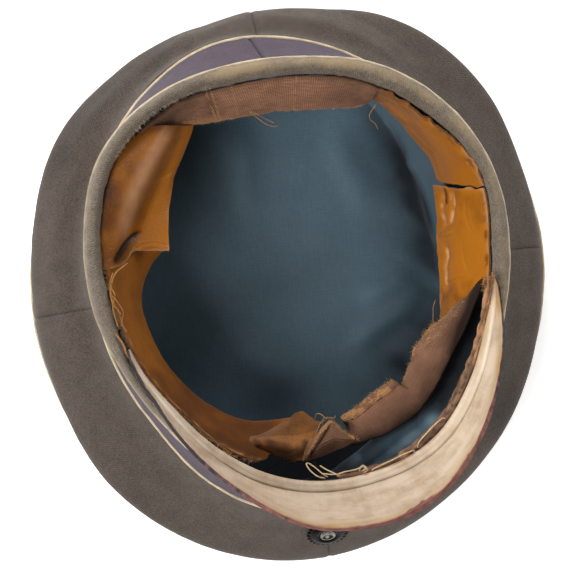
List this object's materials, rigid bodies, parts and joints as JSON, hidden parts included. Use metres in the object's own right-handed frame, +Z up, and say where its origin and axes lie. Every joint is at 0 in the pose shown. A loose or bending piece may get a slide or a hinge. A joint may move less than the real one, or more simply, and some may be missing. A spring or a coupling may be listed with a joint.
{
  "type": "visor cap",
  "caption": "Worn wool visor cap lying upside down, with torn leather sweatband, frayed linen, loose lining, stiff visor and a small cockade.",
  "frame": {"origin": "middle of the flat rest on the crown's outside, on the floor", "axes": "+Z up out of the head opening, -Y towards the visor, +Y towards the back of the cap, +X to the right of the picture"},
  "size_m": [0.2542, 0.266, 0.1391],
  "materials": {
    "grey_wool": "felted wool twill, worn",
    "worn_wool": "felted wool, rubbed pale on the crest",
    "violet_cloth": "plain wool cloth",
    "cream_cord": "cloth-covered cord",
    "teal_cotton": "polished cotton",
    "tan_leather": "glossy, cracked and creased",
    "suede": "napped, frayed",
    "brown_linen": "coarse plain weave, frayed",
    "cream_fibre": "lacquered vulcanised fibre, chipped at the edge",
    "black_metal": "blackened, toothed edge",
    "silver": "worn silver plating"
  },
  "bodies": {
    "root": {"crown_top": "grey_wool", "side_back_right": "grey_wool", "side_back_left": "grey_wool", "side_front_left": "grey_wool", "side_front_right": "grey_wool", "crown_piping": "cream_cord", "upper_piping": "cream_cord", "lower_piping": "cream_cord", "band": "violet_cloth", "rim_binding": "worn_wool", "lining": "teal_cotton", "visor": "cream_fibre", "sweatband_left_upper": "tan_leather", "sweatband_left_lower": "tan_leather", "sweatband_right_upper": "tan_leather", "sweatband_right_lower": "tan_leather", "sweatband_remnant": "tan_leather", "linen_back": "brown_linen", "linen_front": "brown_linen", "suede_flap": "suede", "cockade_ring": "black_metal", "cockade_boss": "silver"}
  },
  "joints": []
}
